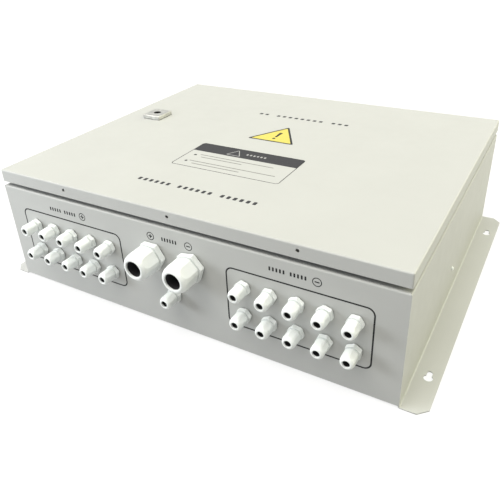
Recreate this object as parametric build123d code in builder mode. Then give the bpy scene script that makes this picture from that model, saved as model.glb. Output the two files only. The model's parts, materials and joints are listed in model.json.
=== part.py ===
from build123d import *
import os
from math import cos, radians, sin, sqrt

os.makedirs("parts", exist_ok=True)

along_x = (0, 90, 0)
along_y = (90, 0, 0)

# ---------------------------------------------------------------------------
# Frame: the box lies on its back. X is its width, +Y points to its top end,
# +Z points out of the door. z = 0 is the wall face under the mounting flanges.
# All lengths are in millimetres.
# ---------------------------------------------------------------------------

# Enclosure
width = 600.0
height = 500.0
depth = 180.0
sheet = 1.5
back_gap = 3.0  # the back panel stands this far off the wall
body_top = 155.5
return_width = 28.0
lip_top = 168.0
fold_radius = 1.75  # at mid thickness
flange_fold_radius = 2.5
flange_width = 31.0
flange_chamfer = 11.5
half_w = width / 2
half_h = height / 2
inner_x = half_w - sheet
inner_y = half_h - sheet
lip_x = half_w - return_width
lip_y = half_h - return_width
back_top = back_gap + sheet

# Snap plug in the right side
side_plug_y = -18.6
side_plug_z = 49.3
side_plug_radius = 2.0
side_plug_head_radius = 3.0
side_plug_head = 2.6

# Keyholes in the mounting flanges
keyhole_x = 317.0
keyhole_y = 190.0
keyhole_radius = 5.5
keyhole_slot_radius = 3.25
keyhole_slot_length = 9.0

# Door
door_edge = 162.0
door_fold = 2.0
door_inner = depth - sheet
drain_hole_x = 175.0
drain_hole_z = 172.0
drain_hole_radius = 2.4
gasket_width = 11.0
gasket_inset = 22.0
gasket_corner = 6.0
stiffener_x = 150.0
stiffener_length = 390.0
stiffener_depth = 8.0
stiffener_crown = 9.0
stiffener_foot = 11.0
stiffener_edge = 20.0

# Hinges
hinge_x = 289.0
hinge_z = 171.0
hinge_y = 170.0
knuckle_radius = 4.0
pin_radius = 2.5
pin_clearance = 0.05
knuckle_end = 30.0
knuckle_split = 15.0
knuckle_gap = 0.2

# Lock
lock_x = -240.0
lock_y = 40.0
lock_plate_x = 35.0
lock_plate_y = 38.0
lock_top = 187.0
lock_gasket = 0.8
lock_stem_radius = 11.0
lock_stem_end = 158.0
barrel_radius = 8.0
barrel_clearance = 0.05
keyway_radius = 6.5
keyway_floor = 179.0
barrel_flange_radius = 9.5
barrel_flange = 3.0
barrel_end = 147.0
cam_square = 8.0
cam_thickness = 3.0
cam_top = 152.0
cam_width = 16.0
cam_length = 45.0

# Mounting plate and rails
plate_x = 530.0
plate_y = 420.0
plate_bottom = 18.5
plate_sheet = 2.0
plate_top = plate_bottom + plate_sheet
stud_x = 250.0
stud_y = 195.0
rail_y = -60.0
upper_rail_y = 130.0
rail_height = 7.5
rail_width = 35.0
rail_sheet = 1.0
rail_top = plate_top + rail_height
main_rail_start = -268.0
main_rail_end = 50.0
upper_rail_half = 62.0

# Devices on the rails
module = 18.0
device_gap = 0.2
fuse_count = 10
fuse_first_x = -246.0
fuse_wall = 1.7
fuse_pivot_y = -17.0
fuse_pivot_z = 64.0
trunnion_radius = 2.04
trunnion_hole_radius = 2.1
carrier_reach = 44.6
carrier_width = 14.0
link_radius = 5.15
link_length = 38.0
breaker_poles = 4
breaker_x = 0.0
breaker_front = 88.0
toggle_z = 82.0
toggle_radius = 3.0
toggle_clearance = 0.05
toggle_angle = 40.0
surge_count = 3
surge_x = 0.0
surge_seat = 46.0
surge_front = 90.0

# Busbars
bar_first_x = 104.5
bar_pitch = 15.0
bar_count = 10
bar_bolt_x = (90.0, 254.0)
bar_thickness = 5.0
bar_width = 20.0
bar_bottom = 52.5
bar_y = -60.0

# Cable glands: columns, rows and sizes
column_pitch = 35.0
column_count = 5
group_x = 175.0
row_z = (62.5, 102.5)
earth_gland_z = 58.0
large_gland_x = 30.0
large_gland_z = 110.0
# shoulder is the share of the nut's length where its dome starts
small_gland = {
    "across_flats": 18.0,
    "flange": 7.0,
    "nut_start": 8.6,
    "nut_flats": 16.6,
    "nut_radius": 8.9,
    "nose": 26.0,
    "nose_radius": 5.8,
    "shoulder": 0.28,
    "lip": 2.0,
    "lip_fillet": 0.5,
    "opening": 4.4,
    "seal_hole": 4.2,
    "thread": 7.6,
    "bore": 5.0,
    "tail": 8.0,
    "locknut_flats": 19.0,
    "locknut": 5.0,
    "turn": 19.0,
}
large_gland = {
    "across_flats": 36.0,
    "flange": 9.0,
    "nut_start": 11.0,
    "nut_flats": 34.6,
    "nut_radius": 18.8,
    "nose": 40.0,
    "nose_radius": 13.6,
    "shoulder": 0.36,
    "lip": 2.5,
    "lip_fillet": 1.0,
    "opening": 11.2,
    "seal_hole": 10.6,
    "thread": 16.0,
    "bore": 12.5,
    "tail": 10.0,
    "locknut_flats": 41.0,
    "locknut": 6.5,
    "turn": 11.0,
}
gland_washer = 1.0
hole_clearance = 0.15
collar_share = 0.42  # of the way from a gland's flange to its nose
seal_seat_share = 0.62  # of the nut's length, where the cone inside it starts
seal_ledge = 1.0  # behind the lip


def finish(builder, name):
    """Names one sub-part and writes it."""
    builder.part.label = name
    export_step(builder.part, f"parts/{name}.step")


# ---------------------------------------------------------------------------
# Shell: two folded sides with their mounting flanges, back, gland wall, top
# ---------------------------------------------------------------------------

mid = sheet / 2

with BuildPart() as right_side:
    with BuildSketch(Plane.XZ):
        with BuildLine():
            FilletPolyline(
                (half_w + flange_width, mid),
                (half_w - mid, mid),
                (half_w - mid, body_top - mid),
                (lip_x + mid, body_top - mid),
                (lip_x + mid, lip_top),
                radius=(flange_fold_radius, fold_radius, fold_radius),
            )
        trace(line_width=sheet)
    extrude(amount=half_h, both=True)
    # the end walls' returns fill the corners
    corner_y = (half_h + lip_y) / 2
    with Locations((inner_x, corner_y, lip_top), (inner_x, -corner_y, lip_top)):
        Box(
            2 * return_width,
            half_h - lip_y,
            2 * (lip_top - body_top + 2 * sheet),
            align=(Align.MAX, Align.CENTER, Align.CENTER),
            mode=Mode.SUBTRACT,
        )
    flange_corners = right_side.edges().filter_by(Axis.Z).group_by(Axis.X)[-1]
    chamfer(flange_corners, length=flange_chamfer)
    with Locations((keyhole_x, keyhole_y, 0), (keyhole_x, -keyhole_y, 0)):
        Cylinder(keyhole_radius, 4 * sheet, mode=Mode.SUBTRACT)
    with BuildSketch(Plane.XY):
        slot_y = keyhole_slot_length / 2
        with Locations((keyhole_x, keyhole_y + slot_y), (keyhole_x, -keyhole_y + slot_y)):
            SlotCenterToCenter(keyhole_slot_length, 2 * keyhole_slot_radius, rotation=90)
    extrude(amount=4 * sheet, mode=Mode.SUBTRACT)

with BuildPart() as left_side:
    add(right_side.part.mirror(Plane.YZ))

# a small snap plug closes a hole in the right side
with BuildPart() as drilled_right_side:
    add(right_side.part)
    with Locations(Location((half_w, side_plug_y, side_plug_z), (0, 90, 0))):
        Cylinder(side_plug_radius, 4 * sheet, mode=Mode.SUBTRACT)

with BuildPart() as side_hole_plug:
    with BuildSketch(Plane.YZ.offset(inner_x - sheet)):
        with Locations((side_plug_y, side_plug_z)):
            Circle(side_plug_radius - 0.1)
    extrude(amount=2 * sheet)
    with BuildSketch(Plane.YZ.offset(half_w)):
        with Locations((side_plug_y, side_plug_z)):
            Circle(side_plug_head_radius)
    extrude(amount=side_plug_head)
    fillet(side_hole_plug.edges().group_by(Axis.X)[-1], radius=0.8 * side_plug_head)

with BuildPart() as back_panel:
    with Locations((0, 0, back_gap)):
        Box(2 * inner_x, 2 * inner_y, sheet, align=(Align.CENTER, Align.CENTER, Align.MIN))

with BuildPart() as top_wall:
    with BuildSketch(Plane.YZ):
        with BuildLine():
            FilletPolyline(
                (half_h - mid, back_gap),
                (half_h - mid, body_top - mid),
                (lip_y + mid, body_top - mid),
                (lip_y + mid, lip_top),
                radius=fold_radius,
            )
        trace(line_width=sheet)
    extrude(amount=inner_x, both=True)
    # the lip stops at the sides' lips
    for end in (-1, 1):
        with BuildSketch(Plane.XY.offset(body_top)):
            with Locations((end * (lip_x + sheet + return_width), lip_y)):
                Rectangle(2 * return_width, 4 * sheet)
        extrude(amount=lip_top - body_top, mode=Mode.SUBTRACT)

gland_spots = [
    (side * group_x + (column - (column_count - 1) / 2) * column_pitch, z)
    for side in (-1, 1)
    for z in row_z
    for column in range(column_count)
]
small_spots = gland_spots + [(0, earth_gland_z)]
large_spots = [(-large_gland_x, large_gland_z), (large_gland_x, large_gland_z)]

with BuildPart() as gland_wall:
    add(top_wall.part.mirror(Plane.XZ))
    with BuildSketch(Plane.XZ.offset(inner_y)):
        with Locations(*small_spots):
            Circle(small_gland["thread"] + hole_clearance)
        with Locations(*large_spots):
            Circle(large_gland["thread"] + hole_clearance)
    extrude(amount=sheet, mode=Mode.SUBTRACT)

finish(drilled_right_side, "right_side")
finish(left_side, "left_side")
finish(side_hole_plug, "side_hole_plug")
finish(back_panel, "back_panel")
finish(top_wall, "top_wall")
finish(gland_wall, "gland_wall")

# ---------------------------------------------------------------------------
# Door: a tray with welded stiffeners and a foam gasket that rests on the lips
# ---------------------------------------------------------------------------

with BuildPart() as door_panel:
    with Locations((0, 0, door_edge)):
        Box(width, height, depth - door_edge, align=(Align.CENTER, Align.CENTER, Align.MIN))
    fillet(door_panel.edges().filter_by(Axis.Z), radius=door_fold)
    fillet(door_panel.faces().sort_by(Axis.Z)[-1].edges(), radius=door_fold)
    offset(amount=-sheet, openings=door_panel.faces().sort_by(Axis.Z)[0])
    with Locations((lock_x, lock_y, depth)):
        Cylinder(lock_stem_radius + hole_clearance, 4 * sheet, mode=Mode.SUBTRACT)
    with BuildSketch(Plane.XZ.offset(inner_y - 1)):
        with Locations((-drain_hole_x, drain_hole_z), (0, drain_hole_z), (drain_hole_x, drain_hole_z)):
            Circle(drain_hole_radius)
    extrude(amount=2 + sheet, mode=Mode.SUBTRACT)
finish(door_panel, "door_panel")

with BuildPart() as door_gasket:
    with BuildSketch(Plane.XY.offset(lip_top)):
        RectangleRounded(width - 2 * gasket_inset, height - 2 * gasket_inset, gasket_corner)
        inset = gasket_inset + gasket_width
        RectangleRounded(width - 2 * inset, height - 2 * inset, gasket_corner / 3, mode=Mode.SUBTRACT)
    extrude(amount=door_inner - lip_top)
finish(door_gasket, "door_gasket")

with BuildPart() as door_stiffeners:
    with BuildSketch(Plane.XZ):
        for side in (-1, 1):
            with BuildLine():
                x = side * stiffener_x
                foot = door_inner - mid
                crown = door_inner - stiffener_depth
                Polyline(
                    (x - stiffener_edge, foot),
                    (x - stiffener_foot, foot),
                    (x - stiffener_crown, crown),
                    (x + stiffener_crown, crown),
                    (x + stiffener_foot, foot),
                    (x + stiffener_edge, foot),
                )
            trace(line_width=sheet)
    extrude(amount=stiffener_length / 2, both=True)
finish(door_stiffeners, "door_stiffeners")

# ---------------------------------------------------------------------------
# Hinges, hidden inside the door's edge. Each has two knuckles on the body,
# one on the door between them, and a headed pin.
# ---------------------------------------------------------------------------

leaf_sheet = 2.0
leaf_foot = 157.0
arm_bottom = 165.3
door_leaf_half = 6.0
pin_head_radius = 4.0
pin_head = 3.0
pin_tail = 1.0

with BuildPart() as hinge_body_leaves:
    for y in (-hinge_y, hinge_y):
        plate_start = lip_x + sheet
        with Locations((plate_start, y, leaf_foot)):
            Box(leaf_sheet, 2 * knuckle_end, arm_bottom + leaf_sheet - leaf_foot,
                align=(Align.MIN, Align.CENTER, Align.MIN))
        length = knuckle_end - knuckle_split
        for middle in (y - knuckle_split - length / 2, y + knuckle_split + length / 2):
            with Locations((hinge_x, middle, hinge_z)):
                Cylinder(knuckle_radius, length, rotation=along_y)
            with Locations((plate_start, middle, arm_bottom)):
                Box(hinge_x - plate_start, length, leaf_sheet,
                    align=(Align.MIN, Align.CENTER, Align.MIN))
            with Locations((hinge_x, middle, arm_bottom)):
                Box(2 * leaf_sheet, length, leaf_sheet + 1,
                    align=(Align.CENTER, Align.CENTER, Align.MIN))
    with Locations((hinge_x, 0, hinge_z)):
        Cylinder(pin_radius + pin_clearance, height, rotation=along_y, mode=Mode.SUBTRACT)
finish(hinge_body_leaves, "hinge_body_leaves")

with BuildPart() as hinge_door_leaves:
    for y in (-hinge_y, hinge_y):
        length = 2 * (knuckle_split - knuckle_gap)
        with Locations((hinge_x, y, hinge_z)):
            Cylinder(knuckle_radius, length, rotation=along_y)
        with Locations((inner_x, y, hinge_z)):
            Box(leaf_sheet, length, 2 * door_leaf_half,
                align=(Align.MAX, Align.CENTER, Align.CENTER))
            Box(inner_x - hinge_x, length, leaf_sheet,
                align=(Align.MAX, Align.CENTER, Align.CENTER))
    with Locations((hinge_x, 0, hinge_z)):
        Cylinder(pin_radius + pin_clearance, height, rotation=along_y, mode=Mode.SUBTRACT)
finish(hinge_door_leaves, "hinge_door_leaves")

with BuildPart() as hinge_pins:
    for y in (-hinge_y, hinge_y):
        length = 2 * knuckle_end + pin_tail
        with Locations((hinge_x, y - pin_tail / 2, hinge_z)):
            Cylinder(pin_radius, length, rotation=along_y)
        with Locations((hinge_x, y + knuckle_end + pin_head / 2, hinge_z)):
            Cylinder(pin_head_radius, pin_head, rotation=along_y)
finish(hinge_pins, "hinge_pins")

# ---------------------------------------------------------------------------
# Quarter-turn lock. At rest its cam points up the box and the door is free.
# ---------------------------------------------------------------------------

plate_floor = depth + lock_gasket
nut_thickness = 6.0
nut_flats = 27.0
recess_depth = lock_top - keyway_floor

with BuildPart() as lock_housing:
    with BuildSketch(Plane.XY.offset(plate_floor)):
        with Locations((lock_x, lock_y)):
            RectangleRounded(lock_plate_x, lock_plate_y, 2)
    extrude(amount=lock_top - plate_floor)
    chamfer(lock_housing.faces().sort_by(Axis.Z)[-1].edges(), length=1.2)
    with BuildSketch(Plane.XY.offset(lock_stem_end)):
        with Locations((lock_x, lock_y)):
            Circle(lock_stem_radius)
    extrude(amount=plate_floor - lock_stem_end)
    with BuildSketch(Plane.XY.offset(lock_stem_end)):
        with Locations((lock_x, lock_y)):
            Circle(barrel_radius)
    extrude(amount=keyway_floor - lock_stem_end, mode=Mode.SUBTRACT)
    with BuildSketch(Plane.XY.offset(keyway_floor)):
        with Locations((lock_x, lock_y)):
            Circle(keyway_radius)
    extrude(amount=recess_depth, mode=Mode.SUBTRACT)
finish(lock_housing, "lock_housing")

with BuildPart() as lock_gasket_part:
    with BuildSketch(Plane.XY.offset(depth)):
        with Locations((lock_x, lock_y)):
            RectangleRounded(lock_plate_x - 0.6, lock_plate_y - 0.6, 2)
            Circle(lock_stem_radius + hole_clearance, mode=Mode.SUBTRACT)
    extrude(amount=lock_gasket)
finish(lock_gasket_part, "lock_gasket")

with BuildPart() as lock_nut:
    with BuildSketch(Plane.XY.offset(door_inner - nut_thickness)):
        with Locations((lock_x, lock_y)):
            RegularPolygon(nut_flats / 2, 6, major_radius=False)
            Circle(lock_stem_radius + pin_clearance, mode=Mode.SUBTRACT)
    extrude(amount=nut_thickness)
finish(lock_nut, "lock_nut")

drive_radius = 2.5
drive_wing = 4.8
drive_top = 184.5
cam_screw_radius = 2.5
cam_screw_bore = 12.0
cam_screw_shank = 10.0
cam_screw_head = 3.0
cam_screw_flats = 9.0

with BuildPart() as lock_barrel:
    with BuildSketch(Plane.XY.offset(lock_stem_end)):
        with Locations((lock_x, lock_y)):
            Circle(barrel_radius - barrel_clearance)
    extrude(amount=keyway_floor - 0.2 - lock_stem_end)
    with BuildSketch(Plane.XY.offset(lock_stem_end - barrel_flange)):
        with Locations((lock_x, lock_y)):
            Circle(barrel_flange_radius)
    extrude(amount=barrel_flange)
    with BuildSketch(Plane.XY.offset(barrel_end)):
        with Locations((lock_x, lock_y)):
            Rectangle(cam_square, cam_square)
    extrude(amount=lock_stem_end - barrel_flange - barrel_end)
    with BuildSketch(Plane.XY.offset(keyway_floor - 0.2)):
        with Locations((lock_x, lock_y)):
            Circle(drive_radius)
            Rectangle(2 * drive_wing, 2)
    extrude(amount=drive_top - keyway_floor + 0.2)
    with BuildSketch(Plane.XY.offset(barrel_end)):
        with Locations((lock_x, lock_y)):
            Circle(cam_screw_radius + pin_clearance)
    extrude(amount=cam_screw_bore, mode=Mode.SUBTRACT)
finish(lock_barrel, "lock_barrel")

with BuildPart() as lock_cam:
    with BuildSketch(Plane.XY.offset(cam_top - cam_thickness)):
        with Locations((lock_x, lock_y + cam_length / 2 - cam_width / 4)):
            SlotOverall(cam_length + cam_width / 2, cam_width, rotation=90)
        with Locations((lock_x, lock_y)):
            Rectangle(cam_square + 0.1, cam_square + 0.1, mode=Mode.SUBTRACT)
    extrude(amount=cam_thickness)
finish(lock_cam, "lock_cam")

with BuildPart() as lock_cam_screw:
    with BuildSketch(Plane.XY.offset(barrel_end - cam_screw_head)):
        with Locations((lock_x, lock_y)):
            RegularPolygon(cam_screw_flats / 2, 6, major_radius=False)
    extrude(amount=cam_screw_head)
    with BuildSketch(Plane.XY.offset(barrel_end)):
        with Locations((lock_x, lock_y)):
            Circle(cam_screw_radius)
    extrude(amount=cam_screw_shank)
finish(lock_cam_screw, "lock_cam_screw")

# ---------------------------------------------------------------------------
# Cable glands. Each is drawn once with +Z out of the wall, then placed on -Y,
# every one turned a little differently, as hand-tightened glands are.
# ---------------------------------------------------------------------------


def on_wall(spots, turn):
    """Places on the outside of the gland wall, with a twist about the gland's axis."""
    return [
        Location((x, -half_h, z), (90, 0, 0)) * Location((0, 0, 0), (0, 0, index * turn))
        for index, (x, z) in enumerate(spots)
    ]


def gland_body(g):
    """The hexagon outside the wall, the threaded tail inside it and the collar in the nut."""
    corner = g["across_flats"] / 2 / cos(radians(30))
    bevel = 0.8
    with BuildPart() as body:
        with BuildSketch(Plane.XY.offset(gland_washer)):
            RegularPolygon(g["across_flats"] / 2, 6, major_radius=False)
        extrude(amount=g["flange"] - gland_washer)
        with BuildSketch(Plane.XZ):
            with BuildLine():
                Polyline(
                    (0, gland_washer),
                    (corner - bevel, gland_washer),
                    (corner, gland_washer + bevel),
                    (corner, g["flange"] - bevel),
                    (corner - bevel, g["flange"]),
                    (0, g["flange"]),
                    close=True,
                )
            make_face()
        revolve(axis=Axis.Z, mode=Mode.INTERSECT)
        with BuildSketch(Plane.XY.offset(-sheet - g["tail"])):
            Circle(g["thread"])
        extrude(amount=sheet + g["tail"] + gland_washer)
        with BuildSketch(Plane.XY.offset(g["flange"])):
            Circle(g["thread"] - 1.2)
        extrude(amount=(g["nose"] - g["flange"]) * collar_share)
        with BuildSketch(Plane.XY.offset(-sheet - g["tail"])):
            Circle(g["bore"])
        extrude(amount=2 * g["nose"], mode=Mode.SUBTRACT)
    return body.part


def gland_nut(g):
    """The dome nut: six flats with rounded corners between them, fading into a round nose."""
    start = g["nut_start"]
    nose = g["nose"]
    run = nose - start
    radius = g["nut_radius"]
    inner = g["thread"] - 1.1
    lip_start = nose - g["lip"]
    seal_seat = start + seal_seat_share * run
    bevel = 0.6
    with BuildPart() as nut:
        with BuildSketch(Plane.XY.offset(start)):
            RegularPolygon(g["nut_flats"] / 2, 6, major_radius=False)
        extrude(amount=run)
        with BuildSketch(Plane.XZ):
            with BuildLine():
                shoulder = (radius, start + g["shoulder"] * run)
                rim = (g["nose_radius"], nose)
                Polyline((0, start), (radius - bevel, start), (radius, start + bevel), shoulder)
                Spline(shoulder, rim, tangents=((0, 1), (-1, 0.4)))
                Polyline(rim, (0, nose), (0, start))
            make_face()
        revolve(axis=Axis.Z, mode=Mode.INTERSECT)
        with BuildSketch(Plane.XY.offset(start)):
            Circle(inner)
        extrude(amount=seal_seat - start, mode=Mode.SUBTRACT)
        with BuildSketch(Plane.XY.offset(seal_seat)):
            Circle(inner)
        with BuildSketch(Plane.XY.offset(lip_start)):
            Circle(g["opening"] + seal_ledge)
        loft(mode=Mode.SUBTRACT)
        with BuildSketch(Plane.XY.offset(lip_start)):
            Circle(g["opening"])
        extrude(amount=g["lip"], mode=Mode.SUBTRACT)
        mouth = nut.edges().group_by(Axis.Z)[-1].sort_by(SortBy.RADIUS)[0]
        fillet(mouth, radius=g["lip_fillet"])
    return nut.part


def gland_seal(g):
    """The rubber ring that grips the cable, between the body's collar and the nut's lip."""
    start = g["flange"] + (g["nose"] - g["flange"]) * collar_share
    end = g["nose"] - g["lip"]
    with BuildPart() as seal:
        with BuildSketch(Plane.XY.offset(start)):
            Circle(g["bore"] + 0.6)
        with BuildSketch(Plane.XY.offset(end)):
            Circle(g["opening"] + seal_ledge - 0.1)
        loft()
        with BuildSketch(Plane.XY.offset(start)):
            Circle(g["seal_hole"])
        extrude(amount=end - start, mode=Mode.SUBTRACT)
    return seal.part


def gland_washer_ring(g):
    with BuildPart() as ring:
        with BuildSketch(Plane.XY):
            Circle(g["across_flats"] / 2 - 0.4)
            Circle(g["thread"] + 0.05, mode=Mode.SUBTRACT)
        extrude(amount=gland_washer)
    return ring.part


def gland_locknut(g):
    """The nut inside the wall."""
    with BuildPart() as locknut:
        with BuildSketch(Plane.XY.offset(-sheet - g["locknut"])):
            RegularPolygon(g["locknut_flats"] / 2, 6, major_radius=False)
            Circle(g["thread"] + 0.05, mode=Mode.SUBTRACT)
        extrude(amount=g["locknut"])
    return locknut.part


gland_pieces = {
    "bodies": gland_body,
    "nuts": gland_nut,
    "seals": gland_seal,
    "washers": gland_washer_ring,
    "locknuts": gland_locknut,
}
for size_name, g, spots in (
    ("small_gland", small_gland, small_spots),
    ("large_gland", large_gland, large_spots),
):
    for piece_name, make_piece in gland_pieces.items():
        piece = make_piece(g)
        with BuildPart() as pieces:
            with Locations(*on_wall(spots, g["turn"])):
                add(piece)
        finish(pieces, f"{size_name}_{piece_name}")

# ---------------------------------------------------------------------------
# Mounting plate on four welded studs, with two top-hat rails
# ---------------------------------------------------------------------------

stud_spots = [(x, y) for x in (-stud_x, stud_x) for y in (-stud_y, stud_y)]
stud_radius = 3.0
stud_collar_radius = 6.0
stud_end = 32.0
plate_nut = 5.0
plate_nut_flats = 10.0
rail_screw_radius = 2.5
rail_screw_head_radius = 4.2
rail_screw_head = 2.6
rail_screw_length = 10.0
main_rail_screws = [(x, rail_y) for x in (-258.0, -66.0, 43.0)]
upper_rail_screws = [(x, upper_rail_y) for x in (-55.0, 55.0)]
insulator_radius = 11.0
insulator_waist = 8.5
earth_bar_y = -172.0
earth_bar_length = 90.0
earth_bar_width = 12.0
earth_bar_sheet = 8.0
earth_foot = 10.0
earth_foot_height = 8.0
earth_foot_x = (earth_bar_length - earth_foot) / 2
m6_radius = 3.0
m6_hole = 3.3

with BuildPart() as mounting_plate:
    with BuildSketch(Plane.XY.offset(plate_bottom)):
        RectangleRounded(plate_x, plate_y, 5)
        with Locations(*stud_spots):
            Circle(stud_radius + 0.3, mode=Mode.SUBTRACT)
        with Locations(*main_rail_screws, *upper_rail_screws):
            Circle(rail_screw_radius + pin_clearance, mode=Mode.SUBTRACT)
        with Locations((-earth_foot_x, earth_bar_y), (earth_foot_x, earth_bar_y)):
            Circle(rail_screw_radius + pin_clearance, mode=Mode.SUBTRACT)
    extrude(amount=plate_sheet)
finish(mounting_plate, "mounting_plate")

with BuildPart() as plate_studs:
    with BuildSketch(Plane.XY.offset(back_top)):
        with Locations(*stud_spots):
            Circle(stud_collar_radius)
    extrude(amount=plate_bottom - back_top)
    with BuildSketch(Plane.XY.offset(plate_bottom)):
        with Locations(*stud_spots):
            Circle(stud_radius)
    extrude(amount=stud_end - plate_bottom)
finish(plate_studs, "plate_studs")

with BuildPart() as plate_nuts:
    with BuildSketch(Plane.XY.offset(plate_top)):
        with Locations(*stud_spots):
            RegularPolygon(plate_nut_flats / 2, 6, major_radius=False)
            Circle(stud_radius + pin_clearance, mode=Mode.SUBTRACT)
    extrude(amount=plate_nut)
finish(plate_nuts, "plate_nuts")


def top_hat_rail(start, end, y, screws):
    """A 35 x 7.5 mm top-hat rail along X, with its screw holes."""
    half = rail_width / 2
    web = 13.0
    low = plate_top + rail_sheet / 2
    high = rail_top - rail_sheet / 2
    with BuildPart() as rail:
        with BuildSketch(Plane.YZ.offset(start)):
            with BuildLine():
                FilletPolyline(
                    (y - half, high), (y - web, high), (y - web, low),
                    (y + web, low), (y + web, high), (y + half, high),
                    radius=0.8,
                )
            trace(line_width=rail_sheet)
        extrude(amount=end - start)
        with BuildSketch(Plane.XY.offset(plate_top)):
            with Locations(*screws):
                Circle(rail_screw_radius + pin_clearance)
        extrude(amount=2 * rail_sheet, mode=Mode.SUBTRACT)
    return rail


main_rail = top_hat_rail(main_rail_start, main_rail_end, rail_y, main_rail_screws)
finish(main_rail, "main_rail")
upper_rail = top_hat_rail(-upper_rail_half, upper_rail_half, upper_rail_y, upper_rail_screws)
finish(upper_rail, "upper_rail")

with BuildPart() as rail_screws:
    with BuildSketch(Plane.XY.offset(plate_top + rail_sheet)):
        with Locations(*main_rail_screws, *upper_rail_screws):
            Circle(rail_screw_head_radius)
    extrude(amount=rail_screw_head)
    with BuildSketch(Plane.XY.offset(plate_top + rail_sheet - rail_screw_length)):
        with Locations(*main_rail_screws, *upper_rail_screws):
            Circle(rail_screw_radius)
    extrude(amount=rail_screw_length)
    chamfer(rail_screws.faces().group_by(Axis.Z)[-1].edges(), length=0.7)
finish(rail_screws, "rail_screws")

# ---------------------------------------------------------------------------
# Every device clips to its rail with two feet that reach under the rail's edges
# ---------------------------------------------------------------------------

rail_grip = rail_width / 2 + 0.2
hook_foot = 4.0
hook_depth = 3.6
hook_lip = 1.2
hook_lip_width = 3.5
hook_lip_inset = 0.5


def rail_hooks(start, length, y):
    """Both feet of a device on the rail at y, running length from start along X."""
    with BuildPart() as hooks:
        with BuildSketch(Plane.YZ.offset(start)):
            for side in (-1, 1):
                with Locations((y + side * (rail_grip + hook_foot / 2), rail_top - hook_depth / 2)):
                    Rectangle(hook_foot, hook_depth)
                claw_y = y + side * (rail_grip + hook_lip_inset)
                with Locations((claw_y, rail_top - hook_depth + hook_lip / 2)):
                    Rectangle(hook_lip_width, hook_lip)
        extrude(amount=length)
    return hooks.part


# ---------------------------------------------------------------------------
# Fuse holders: ten bases, each with a hinged carrier that holds a fuse link
# ---------------------------------------------------------------------------

fuse_x = [fuse_first_x + index * module for index in range(fuse_count)]
prong_z = 40.0
base_half_y = 39.0
base_shoulder = 58.0
base_wall_top = 70.0
cavity_start = -22.0
cavity_end = 28.0
cavity_floor = 44.0
base_corner = 4.0
base_wall_corner = 3.0
entry_radius = 4.2
entry_depth = 5.0
base_well_radius = 3.2
base_well_depth = 6.0

with BuildPart() as fuse_base:
    with BuildSketch(Plane.YZ.offset(-module / 2 + device_gap / 2)):
        with BuildLine():
            Polyline(
                (rail_y - base_half_y, rail_top),
                (rail_y - base_half_y, base_shoulder - base_corner),
                (rail_y - base_half_y + base_corner, base_shoulder),
                (rail_y + cavity_start, base_shoulder),
                (rail_y + cavity_start, base_wall_top - base_wall_corner),
                (rail_y + cavity_start + base_wall_corner, base_wall_top),
                (rail_y + cavity_end, base_wall_top),
                (rail_y + cavity_end, base_shoulder),
                (rail_y + base_half_y - base_corner, base_shoulder),
                (rail_y + base_half_y, base_shoulder - base_corner),
                (rail_y + base_half_y, rail_top),
                close=True,
            )
        make_face()
    extrude(amount=module - device_gap)
    add(rail_hooks(-module / 2 + device_gap / 2, module - device_gap, rail_y))
    with BuildSketch(Plane.YZ.offset(-module / 2 + fuse_wall)):
        with Locations((rail_y + (cavity_start + cavity_end) / 2, cavity_floor)):
            Rectangle(cavity_end - cavity_start, 2 * (base_wall_top - cavity_floor) + 2,
                      align=(Align.CENTER, Align.MIN))
    extrude(amount=module - 2 * fuse_wall, mode=Mode.SUBTRACT)
    with Locations((0, rail_y + fuse_pivot_y, fuse_pivot_z)):
        Cylinder(trunnion_hole_radius, 2 * module, rotation=along_x, mode=Mode.SUBTRACT)
    # cable entries at both ends and screw wells above them
    for side in (-1, 1):
        with Locations((0, rail_y + side * (base_half_y - entry_depth + 1), prong_z)):
            Cylinder(entry_radius, 2 * entry_depth, rotation=along_y, mode=Mode.SUBTRACT)
        with Locations((0, rail_y + side * (base_half_y - base_well_depth + 0.5), base_shoulder)):
            Cylinder(base_well_radius, 2 * base_well_depth, mode=Mode.SUBTRACT)

with BuildPart() as fuse_bases:
    with Locations(*[(x, 0, 0) for x in fuse_x]):
        add(fuse_base.part)
finish(fuse_bases, "fuse_bases")

pivot_y = rail_y + fuse_pivot_y
carrier_floor = -18.0
carrier_front = 8.0
carrier_heel = 4.2
carrier_back = 2.0
carrier_bevel = 3.0
grip_root = 27.0
grip_inner = 33.0
grip_outer = 42.0
grip_top = 20.0
grip_fillet = 2.0
end_y = sqrt(carrier_reach**2 - carrier_floor**2)
mid_angle = radians(-11)
link_middle_y = 18.0
link_z = -9.0

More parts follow.
